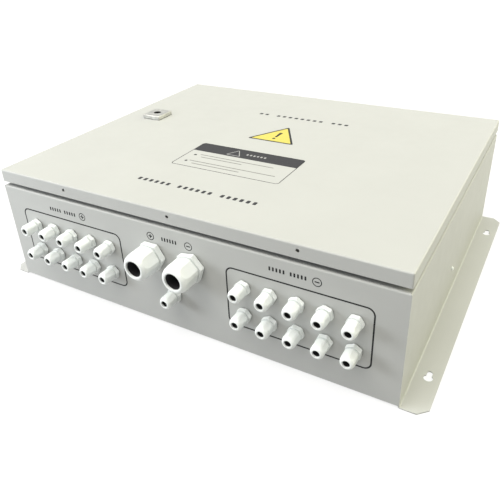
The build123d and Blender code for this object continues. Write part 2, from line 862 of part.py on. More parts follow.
with BuildPart() as fuse_carrier:
    with BuildSketch(Plane.YZ.offset(-carrier_width / 2)):
        with BuildLine():
            Polyline(
                (pivot_y + carrier_reach, fuse_pivot_z),
                (pivot_y + carrier_reach, fuse_pivot_z + carrier_front),
                (pivot_y + grip_outer, fuse_pivot_z + grip_top),
                (pivot_y + grip_inner, fuse_pivot_z + grip_top),
                (pivot_y + grip_root, fuse_pivot_z + carrier_front + carrier_bevel),
                (pivot_y + carrier_back, fuse_pivot_z + carrier_front + carrier_bevel),
                (pivot_y - carrier_heel, fuse_pivot_z + carrier_front),
                (pivot_y - carrier_heel, fuse_pivot_z + carrier_floor),
                (pivot_y + end_y, fuse_pivot_z + carrier_floor),
            )
            ThreePointArc(
                (pivot_y + end_y, fuse_pivot_z + carrier_floor),
                (pivot_y + carrier_reach * cos(mid_angle), fuse_pivot_z + carrier_reach * sin(mid_angle)),
                (pivot_y + carrier_reach, fuse_pivot_z),
            )
        make_face()
    extrude(amount=carrier_width)
    grip_edges = fuse_carrier.edges().filter_by(Axis.X).group_by(Axis.Z)[-1]
    fillet(grip_edges, radius=grip_fillet)
    with Locations((0, pivot_y, fuse_pivot_z)):
        Cylinder(trunnion_radius, module - 2 * device_gap, rotation=along_x)
    # the fuse link snaps in from below
    with Locations((0, pivot_y + link_middle_y, fuse_pivot_z + link_z)):
        Cylinder(link_radius + 0.15, link_length + 0.4, rotation=along_y, mode=Mode.SUBTRACT)
        Box(2 * link_radius - 1, link_length + 0.4, 2 * abs(link_z),
            align=(Align.CENTER, Align.CENTER, Align.MAX), mode=Mode.SUBTRACT)

with BuildPart() as fuse_link:
    with Locations((0, pivot_y + link_middle_y, fuse_pivot_z + link_z)):
        Cylinder(link_radius, link_length, rotation=along_y)
    fillet(fuse_link.edges(), radius=0.8)

for index, x in enumerate(fuse_x):
    with BuildPart() as placed_carrier:
        with Locations((x, 0, 0)):
            add(fuse_carrier.part)
            add(fuse_link.part)
    finish(placed_carrier, f"fuse_carrier_{index + 1}")

# ---------------------------------------------------------------------------
# Busbars: the positive comb feeds from the fuse holders' upper terminals, the
# negative bar stands on two insulators beside them
# ---------------------------------------------------------------------------

comb_y = rail_y + base_half_y + 5
comb_sheet = 3.0
comb_low = 30.0
comb_high = 50.0
comb_tail = 34.0

with BuildPart() as positive_busbar:
    with BuildSketch(Plane.XZ.offset(-comb_y - comb_sheet)):
        comb_start = fuse_x[0] - module / 2
        comb_end = fuse_x[-1] + module / 2 + comb_tail
        with Locations(((comb_start + comb_end) / 2, (comb_low + comb_high) / 2)):
            Rectangle(comb_end - comb_start, comb_high - comb_low)
        with Locations((comb_end - 10, (comb_low + comb_high) / 2)):
            Circle(m6_hole, mode=Mode.SUBTRACT)
    extrude(amount=comb_sheet)
    for x in fuse_x:
        with Locations((x, comb_y + 1, prong_z)):
            Box(6, 12, 2, align=(Align.CENTER, Align.MAX, Align.CENTER))
finish(positive_busbar, "positive_busbar")

bar_top = bar_bottom + bar_thickness
bar_x = [bar_first_x + index * bar_pitch for index in range(bar_count)]
bar_start = bar_bolt_x[0] - 10
bar_end = bar_bolt_x[1] + 10

with BuildPart() as negative_busbar:
    with BuildSketch(Plane.XY.offset(bar_bottom)):
        with Locations(((bar_start + bar_end) / 2, bar_y)):
            Rectangle(bar_end - bar_start, bar_width)
        with Locations(*[(x, bar_y) for x in (*bar_x, *bar_bolt_x)]):
            Circle(m6_radius + pin_clearance, mode=Mode.SUBTRACT)
    extrude(amount=bar_thickness)
    chamfer(negative_busbar.edges().filter_by(Axis.Z).group_by(Axis.X)[-1], length=2)
finish(negative_busbar, "negative_busbar")

with BuildPart() as insulator:
    with BuildSketch(Plane.XZ):
        with BuildLine():
            Polyline(
                (0, plate_top), (insulator_radius, plate_top),
                (insulator_radius, plate_top + 5), (insulator_waist, plate_top + 9),
                (insulator_waist, plate_top + 13), (insulator_radius, plate_top + 16),
                (insulator_waist, plate_top + 19), (insulator_waist, bar_bottom - 9),
                (insulator_radius, bar_bottom - 5), (insulator_radius, bar_bottom),
                (0, bar_bottom),
                close=True,
            )
        make_face()
    revolve(axis=Axis.Z)
    with Locations((0, 0, bar_bottom)):
        Cylinder(m6_radius + pin_clearance, 12, align=(Align.CENTER, Align.CENTER, Align.MAX),
                 mode=Mode.SUBTRACT)

with BuildPart() as busbar_insulators:
    with Locations(*[(x, bar_y, 0) for x in bar_bolt_x]):
        add(insulator.part)
finish(busbar_insulators, "busbar_insulators")

screw_head = 4.0
screw_flats = 10.0
washer_sheet = 1.6
washer_radius = 6.0
screw_reach = 9.0

with BuildPart() as busbar_screws:
    with BuildSketch(Plane.XY.offset(bar_top)):
        with Locations(*[(x, bar_y) for x in (*bar_x, *bar_bolt_x)]):
            Circle(washer_radius)
    extrude(amount=washer_sheet)
    with BuildSketch(Plane.XY.offset(bar_top + washer_sheet)):
        with Locations(*[(x, bar_y) for x in (*bar_x, *bar_bolt_x)]):
            RegularPolygon(screw_flats / 2, 6, major_radius=False)
    extrude(amount=screw_head)
    with BuildSketch(Plane.XY.offset(bar_top - screw_reach)):
        with Locations(*[(x, bar_y) for x in (*bar_x, *bar_bolt_x)]):
            Circle(m6_radius)
    extrude(amount=screw_reach)
finish(busbar_screws, "busbar_screws")

# ---------------------------------------------------------------------------
# Four-pole DC breaker with one linked toggle. At rest the toggle leans to +Y.
# ---------------------------------------------------------------------------

breaker_half_y = 40.5
breaker_shoulder = 66.0
breaker_window = 22.5
pole_x = [breaker_x + (index - (breaker_poles - 1) / 2) * module for index in range(breaker_poles)]
breaker_width = breaker_poles * module - device_gap
toggle_slot = 8.0
toggle_slot_y = 24.0
toggle_slot_depth = 13.0
lever_width = 6.0
lever_thickness = 5.0
lever_length = 19.0
link_bar_width = 9.0
link_bar_thickness = 7.0
link_bar_corner = 2.0
terminal_z = 42.0
terminal_radius = 4.5
screw_well_radius = 3.5
screw_well_depth = 14.0

with BuildPart() as breaker_case:
    with BuildSketch(Plane.YZ.offset(breaker_x - breaker_width / 2)):
        with BuildLine():
            Polyline(
                (rail_y - breaker_half_y, rail_top),
                (rail_y - breaker_half_y, breaker_shoulder - 2),
                (rail_y - breaker_half_y + 2, breaker_shoulder),
                (rail_y - breaker_window - 2, breaker_shoulder),
                (rail_y - breaker_window, breaker_shoulder + 3),
                (rail_y - breaker_window, breaker_front),
                (rail_y + breaker_window, breaker_front),
                (rail_y + breaker_window, breaker_shoulder + 3),
                (rail_y + breaker_window + 2, breaker_shoulder),
                (rail_y + breaker_half_y - 2, breaker_shoulder),
                (rail_y + breaker_half_y, breaker_shoulder - 2),
                (rail_y + breaker_half_y, rail_top),
                close=True,
            )
        make_face()
    extrude(amount=breaker_width)
    add(rail_hooks(breaker_x - breaker_width / 2, breaker_width, rail_y))
    # shallow grooves between the poles
    for index in range(1, breaker_poles):
        groove_x = breaker_x + (index - breaker_poles / 2) * module
        with Locations((groove_x, rail_y, breaker_front)):
            Box(0.6, 2 * breaker_window, 2, mode=Mode.SUBTRACT)
        for side in (-1, 1):
            with Locations((groove_x, rail_y + side * breaker_half_y, (breaker_shoulder + rail_top) / 2)):
                Box(0.6, 2, breaker_shoulder - rail_top + 1, mode=Mode.SUBTRACT)
    for x in pole_x:
        with Locations((x, rail_y, breaker_front)):
            Box(toggle_slot, toggle_slot_y, 2 * toggle_slot_depth, mode=Mode.SUBTRACT)
        for side in (-1, 1):
            with Locations((x, rail_y + side * (breaker_half_y - 6), terminal_z)):
                Cylinder(terminal_radius, 14, rotation=along_y, mode=Mode.SUBTRACT)
            with Locations((x, rail_y + side * (breaker_half_y - 8), breaker_shoulder)):
                Cylinder(screw_well_radius, 2 * screw_well_depth, mode=Mode.SUBTRACT)
    with Locations((breaker_x, rail_y, toggle_z)):
        Cylinder(toggle_radius + toggle_clearance, breaker_width - 12, rotation=along_x,
                 mode=Mode.SUBTRACT)
finish(breaker_case, "breaker_case")

with BuildPart() as breaker_terminal_screws:
    for side in (-1, 1):
        floor_z = breaker_shoulder - screw_well_depth
        with Locations(*[(x, rail_y + side * (breaker_half_y - 8), floor_z) for x in pole_x]):
            Cylinder(screw_well_radius - 0.3, 4, align=(Align.CENTER, Align.CENTER, Align.MIN))
            with Locations((0, 0, 4)):
                Box(2 * screw_well_radius - 1.2, 1, 1.6, mode=Mode.SUBTRACT)
finish(breaker_terminal_screws, "breaker_terminal_screws")

with BuildPart() as breaker_toggle:
    with Locations((breaker_x, rail_y, toggle_z)):
        Cylinder(toggle_radius, breaker_width - 13, rotation=along_x)
    tilt = radians(toggle_angle)
    for x in pole_x:
        with BuildSketch(Plane.YZ.offset(x - lever_width / 2)):
            lever_middle = lever_length / 2
            with Locations((rail_y + lever_middle * sin(tilt), toggle_z + lever_middle * cos(tilt))):
                Rectangle(lever_thickness, lever_length, rotation=-toggle_angle)
        extrude(amount=lever_width)
    with BuildSketch(Plane.YZ):
        with Locations((rail_y + lever_length * sin(tilt), toggle_z + lever_length * cos(tilt))):
            RectangleRounded(link_bar_width, link_bar_thickness, link_bar_corner, rotation=-toggle_angle)
    extrude(amount=breaker_width / 2 - 6, both=True)
finish(breaker_toggle, "breaker_toggle")

# ---------------------------------------------------------------------------
# Surge arrester: a base on the upper rail and three pull-out cartridges
# ---------------------------------------------------------------------------

surge_half_y = 45.0
surge_inner_y = 24.0
surge_wall_top = 66.0
cartridge_x = [surge_x + (index - (surge_count - 1) / 2) * module for index in range(surge_count)]
cartridge_gap = 0.4
blade_length = 9.0
blade_y = 14.0
blade_width = 7.0
blade_sheet = 2.0
blade_clearance = 0.4
window_y = 8.0
groove_z = surge_front - 8.0
surge_width = surge_count * module - device_gap

with BuildPart() as surge_base:
    with BuildSketch(Plane.YZ.offset(surge_x - surge_width / 2)):
        with BuildLine():
            Polyline(
                (upper_rail_y - surge_half_y, rail_top),
                (upper_rail_y - surge_half_y, surge_wall_top - 3),
                (upper_rail_y - surge_half_y + 3, surge_wall_top),
                (upper_rail_y - surge_inner_y, surge_wall_top),
                (upper_rail_y - surge_inner_y, surge_seat),
                (upper_rail_y + surge_inner_y, surge_seat),
                (upper_rail_y + surge_inner_y, surge_wall_top),
                (upper_rail_y + surge_half_y - 3, surge_wall_top),
                (upper_rail_y + surge_half_y, surge_wall_top - 3),
                (upper_rail_y + surge_half_y, rail_top),
                close=True,
            )
        make_face()
    extrude(amount=surge_width)
    add(rail_hooks(surge_x - surge_width / 2, surge_width, upper_rail_y))
    for x in cartridge_x:
        for side in (-1, 1):
            with Locations((x, upper_rail_y + side * blade_y, surge_seat)):
                Box(blade_sheet + 2 * blade_clearance, blade_width + 2 * blade_clearance,
                    2 * (blade_length + 1), mode=Mode.SUBTRACT)
            with Locations((x, upper_rail_y + side * (surge_half_y - 5), terminal_z)):
                Cylinder(terminal_radius, 12, rotation=along_y, mode=Mode.SUBTRACT)
            with Locations((x, upper_rail_y + side * (surge_half_y - 9), surge_wall_top)):
                Cylinder(screw_well_radius, 2 * screw_well_depth, mode=Mode.SUBTRACT)
finish(surge_base, "surge_base")

for index, x in enumerate(cartridge_x):
    with BuildPart() as cartridge:
        with Locations((x, upper_rail_y, surge_seat)):
            Box(module - cartridge_gap - device_gap, 2 * surge_inner_y - 1, surge_front - surge_seat,
                align=(Align.CENTER, Align.CENTER, Align.MIN))
        fillet(cartridge.edges().filter_by(Axis.Z), radius=1.5)
        chamfer(cartridge.faces().sort_by(Axis.Z)[-1].edges(), length=1)
        # the status window and the finger grooves
        with Locations((x, upper_rail_y + window_y, surge_front)):
            Box(6, 8, 1.2, mode=Mode.SUBTRACT)
        for side in (-1, 1):
            with Locations((x, upper_rail_y + side * (surge_inner_y - 0.5), groove_z)):
                Box(11, 2, 6, mode=Mode.SUBTRACT)
        for side in (-1, 1):
            with Locations((x, upper_rail_y + side * blade_y, surge_seat)):
                Box(blade_sheet, blade_width, blade_length, align=(Align.CENTER, Align.CENTER, Align.MAX))
    finish(cartridge, f"surge_cartridge_{index + 1}")

# ---------------------------------------------------------------------------
# Earth bar above the earth gland, and the welded earth studs
# ---------------------------------------------------------------------------

earth_screw_pitch = 13.0
earth_screw_count = 5
earth_screw_x = [
    (index - (earth_screw_count - 1) / 2) * earth_screw_pitch for index in range(earth_screw_count)
]
earth_top = plate_top + earth_foot_height + earth_bar_sheet

with BuildPart() as earth_bar:
    with BuildSketch(Plane.XZ.offset(-earth_bar_y - earth_bar_width / 2)):
        with Locations((0, earth_top - earth_bar_sheet / 2)):
            Rectangle(earth_bar_length, earth_bar_sheet)
        for side in (-1, 1):
            with Locations((side * earth_foot_x, plate_top + earth_foot_height / 2)):
                Rectangle(earth_foot, earth_foot_height)
    extrude(amount=earth_bar_width)
    with BuildSketch(Plane.XY.offset(plate_top)):
        with Locations(*[(x, earth_bar_y) for x in (*earth_screw_x, -earth_foot_x, earth_foot_x)]):
            Circle(rail_screw_radius + pin_clearance)
    extrude(amount=earth_top - plate_top, mode=Mode.SUBTRACT)
finish(earth_bar, "earth_bar")

with BuildPart() as earth_bar_screws:
    with BuildSketch(Plane.XY.offset(earth_top)):
        with Locations(*[(x, earth_bar_y) for x in (*earth_screw_x, -earth_foot_x, earth_foot_x)]):
            Circle(rail_screw_head_radius)
    extrude(amount=rail_screw_head)
    chamfer(earth_bar_screws.faces().group_by(Axis.Z)[-1].edges(), length=0.7)
    with BuildSketch(Plane.XY.offset(earth_top - earth_bar_sheet + 1)):
        with Locations(*[(x, earth_bar_y) for x in earth_screw_x]):
            Circle(rail_screw_radius)
    extrude(amount=earth_bar_sheet - 1)
    with BuildSketch(Plane.XY.offset(plate_bottom - 3)):
        with Locations((-earth_foot_x, earth_bar_y), (earth_foot_x, earth_bar_y)):
            Circle(rail_screw_radius)
    extrude(amount=earth_top - plate_bottom + 3)
finish(earth_bar_screws, "earth_bar_screws")

earth_stud_length = 18.0
earth_stud_foot = 1.5
earth_stud_foot_radius = 7.0
earth_nut_gap = 4.0
body_stud_y = -120.0
body_stud_z = 80.0
door_stud_x = 235.0
door_stud_y = -190.0

with BuildPart() as body_earth_stud:
    with BuildSketch(Plane.YZ.offset(inner_x - earth_stud_foot)):
        with Locations((body_stud_y, body_stud_z)):
            Circle(earth_stud_foot_radius)
    extrude(amount=earth_stud_foot)
    with BuildSketch(Plane.YZ.offset(inner_x - earth_stud_length)):
        with Locations((body_stud_y, body_stud_z)):
            Circle(m6_radius)
    extrude(amount=earth_stud_length - earth_stud_foot)
    with BuildSketch(Plane.YZ.offset(inner_x - earth_stud_foot - earth_nut_gap - plate_nut)):
        with Locations((body_stud_y, body_stud_z)):
            RegularPolygon(plate_nut_flats / 2, 6, major_radius=False)
            Circle(m6_radius + pin_clearance, mode=Mode.SUBTRACT)
    extrude(amount=plate_nut)
finish(body_earth_stud, "body_earth_stud")

with BuildPart() as door_earth_stud:
    with BuildSketch(Plane.XY.offset(door_inner - earth_stud_foot)):
        with Locations((door_stud_x, door_stud_y)):
            Circle(earth_stud_foot_radius)
    extrude(amount=earth_stud_foot)
    with BuildSketch(Plane.XY.offset(door_inner - earth_stud_length)):
        with Locations((door_stud_x, door_stud_y)):
            Circle(m6_radius)
    extrude(amount=earth_stud_length - earth_stud_foot)
    with BuildSketch(Plane.XY.offset(door_inner - earth_stud_foot - earth_nut_gap - plate_nut)):
        with Locations((door_stud_x, door_stud_y)):
            RegularPolygon(plate_nut_flats / 2, 6, major_radius=False)
            Circle(m6_radius + pin_clearance, mode=Mode.SUBTRACT)
    extrude(amount=plate_nut)
finish(door_earth_stud, "door_earth_stud")
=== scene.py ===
"""The looks of a DC combiner box lying on its back: powder-coated sheet steel, white nylon
cable glands, printed marks, and the gear inside. All lengths are in metres."""

import json
from math import cos, pi, radians, sin, sqrt

import bmesh
import bpy
from mathutils import Matrix, Vector


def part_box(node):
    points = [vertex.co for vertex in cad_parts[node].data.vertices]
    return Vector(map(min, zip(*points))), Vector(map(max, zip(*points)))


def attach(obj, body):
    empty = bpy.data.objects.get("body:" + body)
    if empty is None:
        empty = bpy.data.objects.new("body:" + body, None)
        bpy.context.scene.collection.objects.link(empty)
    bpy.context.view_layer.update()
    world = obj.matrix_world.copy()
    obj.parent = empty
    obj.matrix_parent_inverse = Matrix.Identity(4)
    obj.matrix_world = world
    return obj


MM = 0.001

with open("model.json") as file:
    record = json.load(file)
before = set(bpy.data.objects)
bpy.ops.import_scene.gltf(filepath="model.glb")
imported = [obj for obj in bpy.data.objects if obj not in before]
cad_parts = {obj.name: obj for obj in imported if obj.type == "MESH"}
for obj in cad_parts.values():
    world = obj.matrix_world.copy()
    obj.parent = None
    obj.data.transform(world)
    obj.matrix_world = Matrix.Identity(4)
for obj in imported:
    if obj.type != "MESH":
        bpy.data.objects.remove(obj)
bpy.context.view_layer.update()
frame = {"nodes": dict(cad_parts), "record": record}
nodes = frame["nodes"]

door_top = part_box("door_panel")[1].z
wall_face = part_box("gland_wall")[0].y


# ---------------------------------------------------------------------------
# Materials
# ---------------------------------------------------------------------------


class Shader:
    """A node material with a Principled shader, built up by small steps."""

    def __init__(self, name, color, roughness, metallic=0.0, **sockets):
        self.material = bpy.data.materials.new(name)
        self.material.use_nodes = True
        self.tree = self.material.node_tree
        self.principled = self.tree.nodes["Principled BSDF"]
        self.set("Base Color", (*color, 1.0))
        self.set("Roughness", roughness)
        self.set("Metallic", metallic)
        self.color = color
        self.roughness = roughness
        self.coordinates = self.tree.nodes.new("ShaderNodeTexCoord").outputs["Object"]
        self.height = None
        for socket, value in sockets.items():
            self.set(socket.replace("_", " "), value)

    def set(self, socket, value):
        self.principled.inputs[socket].default_value = value

    def link(self, output, socket):
        self.tree.links.new(output, socket)

    def mapped(self, scale):
        """The object's coordinates, stretched."""
        mapping = self.tree.nodes.new("ShaderNodeMapping")
        mapping.inputs["Scale"].default_value = scale
        self.link(self.coordinates, mapping.inputs["Vector"])
        return mapping.outputs["Vector"]

    def noise(self, size, detail=3.0, stretch=(1, 1, 1)):
        """Noise whose features are about size metres across."""
        node = self.tree.nodes.new("ShaderNodeTexNoise")
        node.inputs["Scale"].default_value = 1 / size
        node.inputs["Detail"].default_value = detail
        self.link(self.mapped(stretch), node.inputs["Vector"])
        return node.outputs["Fac"]

    def ramp(self, factor, low, high, start=0.35, end=0.65):
        """A colour that goes from low to high as factor goes from start to end."""
        node = self.tree.nodes.new("ShaderNodeValToRGB")
        node.color_ramp.elements[0].position = start
        node.color_ramp.elements[1].position = end
        node.color_ramp.elements[0].color = (*low, 1)
        node.color_ramp.elements[1].color = (*high, 1)
        self.link(factor, node.inputs["Fac"])
        return node.outputs["Color"]

    def vary_color(self, size, amount):
        """Patches lighter and darker by that share of the colour."""
        low = tuple(c * (1 - amount) for c in self.color)
        high = tuple(min(1.0, c * (1 + amount)) for c in self.color)
        self.link(self.ramp(self.noise(size, 4), low, high), self.principled.inputs["Base Color"])

    def vary_roughness(self, size, amount, stretch=(1, 1, 1)):
        """Patches shinier and duller by that amount of roughness."""
        low = (self.roughness - amount,) * 3
        high = (self.roughness + amount,) * 3
        rough = self.ramp(self.noise(size, 5, stretch), low, high, start=0.3, end=0.7)
        self.link(rough, self.principled.inputs["Roughness"])

    def bump(self, size, depth, detail=3.0, stretch=(1, 1, 1)):
        """Relief of that feature size and depth, on top of any before it."""
        node = self.tree.nodes.new("ShaderNodeBump")
        node.inputs["Strength"].default_value = 1.0
        node.inputs["Distance"].default_value = depth
        self.link(self.noise(size, detail, stretch), node.inputs["Height"])
        if self.height is not None:
            self.link(self.height, node.inputs["Normal"])
        self.height = node.outputs["Normal"]
        self.link(self.height, self.principled.inputs["Normal"])


def powder_coat(name, color):
    """Light-grey powder coat: satin, with a fine orange peel and a faint unevenness."""
    shader = Shader(name, color, 0.48, Specular_IOR_Level=0.3)
    shader.vary_color(size=0.09, amount=0.012)
    shader.vary_roughness(size=0.02, amount=0.04)
    shader.bump(size=0.0016, depth=0.00004, detail=2.0)
    shader.bump(size=0.0005, depth=0.000015, detail=2.0)
    return shader.material


def nylon(name, color):
    """Moulded polyamide: a satin skin with soft flow marks."""
    shader = Shader(name, color, 0.4, Coat_Weight=0.06, Coat_Roughness=0.3)
    shader.vary_color(size=0.012, amount=0.012)
    shader.vary_roughness(size=0.004, amount=0.05)
    shader.bump(size=0.0008, depth=0.00002)
    return shader.material


def moulded(name, color, roughness=0.48):
    """Device housing plastic with a fine spark-eroded texture."""
    shader = Shader(name, color, roughness)
    shader.vary_color(size=0.02, amount=0.02)
    shader.vary_roughness(size=0.003, amount=0.05)
    shader.bump(size=0.0004, depth=0.00003, detail=2.0)
    return shader.material


def rubber(name, color, pore=0.0006):
    """Matt rubber or foam with pores of that size."""
    shader = Shader(name, color, 0.72)
    shader.vary_color(size=0.008, amount=0.15)
    shader.bump(size=pore, depth=0.00006)
    return shader.material


def zinc_plate(name, color, roughness):
    """Zinc-plated steel: faint spangle, fine rolling lines and handling marks."""
    shader = Shader(name, color, roughness, metallic=1.0)
    shader.vary_color(size=0.007, amount=0.14)
    shader.vary_roughness(size=0.01, amount=0.10, stretch=(1, 0.15, 1))
    shader.bump(size=0.0006, depth=0.000012, detail=4.0, stretch=(1, 0.08, 1))
    return shader.material


def drawn_metal(name, color):
    """Copper or brass bar: drawing lines along X and slightly tarnished patches."""
    shader = Shader(name, color, 0.30, metallic=1.0)
    shader.vary_color(size=0.015, amount=0.10)
    shader.vary_roughness(size=0.012, amount=0.08)
    shader.bump(size=0.0005, depth=0.00002, detail=4.0, stretch=(0.05, 1, 1))
    return shader.material


def printed(name, color, roughness=0.6):
    """Screen-printed ink: slightly uneven cover."""
    shader = Shader(name, color, roughness, Specular_IOR_Level=0.25)
    shader.vary_color(size=0.0015, amount=0.12)
    shader.vary_roughness(size=0.002, amount=0.06)
    shader.bump(size=0.0005, depth=0.00001)
    return shader.material


paint = powder_coat("grey_powder_coat", (0.468, 0.472, 0.455))
white_nylon = nylon("white_nylon", (0.83, 0.855, 0.84))
# black_rubber also lines the key recess, where it is painted shade
black_rubber = rubber("black_rubber", (0.010, 0.010, 0.011))
foam = rubber("poured_foam", (0.022, 0.022, 0.024), pore=0.0012)
zinc = zinc_plate("zinc_plated_steel", (0.42, 0.43, 0.445), 0.40)
cast_zinc = zinc_plate("cast_zinc", (0.44, 0.44, 0.415), 0.5)
device_grey = moulded("device_grey", (0.40, 0.41, 0.41))
carrier_grey = moulded("carrier_light_grey", (0.56, 0.565, 0.56))
cartridge_red = moulded("cartridge_red", (0.42, 0.045, 0.03))
toggle_black = moulded("toggle_black", (0.016, 0.016, 0.018), 0.3)
resin_red = moulded("insulator_resin", (0.33, 0.03, 0.022), 0.32)
copper = drawn_metal("copper_bar", (0.80, 0.42, 0.27))
brass = drawn_metal("brass_bar", (0.74, 0.56, 0.27))
dark_ink = printed("dark_ink", (0.016, 0.016, 0.017))
grey_ink = printed("grey_ink", (0.028, 0.028, 0.031))
faint_ink = printed("faint_ink", (0.20, 0.20, 0.19))
light_ink = printed("light_ink", (0.40, 0.40, 0.40))
yellow_ink = printed("yellow_ink", (0.60, 0.52, 0.10), 0.4)
label_white = printed("label_white", (0.72, 0.72, 0.70), 0.45)
window_green = moulded("window_green", (0.03, 0.30, 0.06), 0.2)
lamp_red = moulded("lamp_red", (0.45, 0.03, 0.02), 0.15)

node_materials = {
    "grey_paint": paint,
    "white_nylon": white_nylon,
    "black_rubber": black_rubber,
    "foam": foam,
    "zinc_steel": zinc,
    "lock_metal": cast_zinc,
    "device_plastic": device_grey,
    "carrier_plastic": carrier_grey,
    "toggle_plastic": toggle_black,
    "cartridge_plastic": cartridge_red,
    "copper": copper,
    "brass": brass,
    "insulator_resin": resin_red,
}

for entry in frame["record"]["subparts"]:
    mesh = nodes[entry["node"]].data
    mesh.materials.clear()
    mesh.materials.append(node_materials[entry["material_slot"]])


# ---------------------------------------------------------------------------
# Outlines and thin printed shapes
# ---------------------------------------------------------------------------


def circle(x, y, radius, steps=48):
    turns = [2 * pi * i / steps for i in range(steps)]
    return [(x + radius * cos(a), y + radius * sin(a)) for a in turns]


def rounded(points, radius, steps=8):
    """A closed polygon with each corner rounded by an arc of that radius."""
    outline = []
    count = len(points)
    for i, corner in enumerate(points):
        here = Vector(corner)
        before = (Vector(points[i - 1]) - here).normalized()
        after = (Vector(points[(i + 1) % count]) - here).normalized()
        half = before.angle(after) / 2
        centre = here + (before + after).normalized() * (radius / sin(half))
        start = here + before * (radius * cos(half) / sin(half)) - centre
        end = here + after * (radius * cos(half) / sin(half)) - centre
        sweep = start.angle_signed(end)
        for k in range(steps + 1):
            turn = Matrix.Rotation(-sweep * k / steps, 2)
            outline.append(tuple(centre + turn @ start))
    return outline


def rectangle(x0, y0, x1, y1):
    return [(x0, y0), (x1, y0), (x1, y1), (x0, y1)]


def on_door(x, y, h):
    return (x, y, door_top + h)


def on_wall(x, z, h):
    return (x, wall_face - h, z)


def finish_mesh(mesh, name, body, material):
    """Turns a bmesh into a piece that rides on a body."""
    bmesh.ops.recalc_face_normals(mesh, faces=mesh.faces)
    data = bpy.data.meshes.new(name)
    mesh.to_mesh(data)
    mesh.free()
    data.materials.append(material)
    piece = bpy.data.objects.new(name, data)
    bpy.context.scene.collection.objects.link(piece)
    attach(piece, body)


INK = 0.06 * MM  # how proud of its surface a print stands
BURIED = -0.05 * MM  # and how far it reaches into it
LETTER_GAP = 0.24  # on each side of a letter block, as a share of the pitch
LETTER_CORNER = 0.16


class Print:
    """Thin closed slabs on one surface, gathered into one object."""

    def __init__(self, place, low=BURIED, high=INK):
        self.place = place
        self.low = low
        self.high = high
        self.mesh = bmesh.new()

    def loop(self, outline, h):
        return [self.mesh.verts.new(self.place(x, y, h)) for x, y in outline]

    def sides(self, a, b):
        for i in range(len(a)):
            j = (i + 1) % len(a)
            self.mesh.faces.new((a[i], a[j], b[j], b[i]))

    def slab(self, outline):
        low = self.loop(outline, self.low)
        high = self.loop(outline, self.high)
        self.mesh.faces.new(high)
        self.mesh.faces.new(low[::-1])
        self.sides(low, high)

    def ring(self, outer, inner):
        """A flat band between two outlines with the same number of points."""
        outer_low = self.loop(outer, self.low)
        outer_high = self.loop(outer, self.high)
        inner_low = self.loop(inner, self.low)
        inner_high = self.loop(inner, self.high)
        self.sides(outer_low, outer_high)
        self.sides(outer_high, inner_high)
        self.sides(inner_high, inner_low)
        self.sides(inner_low, outer_low)

    def frame(self, x0, y0, x1, y1, corner, line):
        """A rounded rectangle drawn with a line of that width, inside its bounds."""
        inner = rectangle(x0 + line, y0 + line, x1 - line, y1 - line)
        self.ring(rounded(rectangle(x0, y0, x1, y1), corner), rounded(inner, corner - line))

    def letters(self, words, x0, x1, baseline, height):
        """Plain blocks in place of text: one per letter, gaps between words."""
        pitch = (x1 - x0) / (sum(words) + len(words) - 1)
        x = x0
        for letters in words:
            for _ in range(letters):
                left = x + LETTER_GAP * pitch
                right = x + (1 - LETTER_GAP) * pitch
                block = rectangle(left, baseline, right, baseline + height)
                self.slab(rounded(block, LETTER_CORNER * min(pitch, height), 3))
                x += pitch
            x += pitch

    def finish(self, name, body, material, slot):
        finish_mesh(self.mesh, name, body, material)


# ---------------------------------------------------------------------------
# Print on the gland wall
# ---------------------------------------------------------------------------

group_x = 175 * MM
frame_shift = -2 * MM
frame_width = 185.5 * MM
frame_low = 40.5 * MM
frame_high = 125.5 * MM
frame_corner = 10 * MM
frame_line = 2.0 * MM

mark_radius = 5.8 * MM
mark_line = 1.1 * MM
mark_arm = 2.9 * MM  # half the length of the plus or minus
mark_thick = 0.8 * MM  # and half its thickness
polarity_marks = (  # x, height, whether it is a plus
    (-149 * MM, 137 * MM, True),
    (-30.5 * MM, 137.5 * MM, True),
    (28 * MM, 137.5 * MM, False),
    (198.5 * MM, 138.5 * MM, False),
)
wall_caption_height = 5.4 * MM
wall_captions = (  # letters in each word, left end, right end, baseline
    ((5, 5), -212 * MM, -161 * MM, 134 * MM),
    ((6,), -14 * MM, 11 * MM, 135 * MM),
    ((5, 5), 138 * MM, 187 * MM, 136.5 * MM),
)


def polarity_mark(sheet, x, y, plus):
    """A circle with a plus or a minus in it."""
    arm = mark_arm
    thick = mark_thick
    sheet.ring(circle(x, y, mark_radius), circle(x, y, mark_radius - mark_line))
    sheet.slab(rectangle(x - arm, y - thick, x + arm, y + thick))
    if plus:
        sheet.slab(rectangle(x - thick, y + thick, x + thick, y + arm))
        sheet.slab(rectangle(x - thick, y - arm, x + thick, y - thick))


def gland_wall_print():
    """A frame round each group of small glands, the polarity marks and the captions."""
    marks = Print(on_wall)
    for side in (-1, 1):
        x0 = side * group_x + frame_shift - frame_width / 2
        x1 = side * group_x + frame_shift + frame_width / 2
        marks.frame(x0, frame_low, x1, frame_high, frame_corner, frame_line)
    for x, y, plus in polarity_marks:
        polarity_mark(marks, x, y, plus)
    marks.finish("gland_wall_marks", "enclosure", dark_ink, "dark_print")
    words = Print(on_wall)
    for letters, x0, x1, baseline in wall_captions:
        words.letters(letters, x0, x1, baseline, wall_caption_height)
    words.finish("gland_wall_captions", "enclosure", dark_ink, "dark_print")


# ---------------------------------------------------------------------------
# Print on the door
# ---------------------------------------------------------------------------

triangle_x = 2.5 * MM
triangle_base = 10 * MM
triangle_side = 80 * MM
triangle_border = 3.2 * MM
triangle_dot_y = triangle_base + 14 * MM
triangle_dot_radius = 2.6 * MM
triangle_bar_low = triangle_base + 20 * MM
triangle_bar_high = triangle_base + 41 * MM
triangle_bar_foot = 1.6 * MM  # half the bar's width at its foot
triangle_bar_head = 2.8 * MM  # and at its head

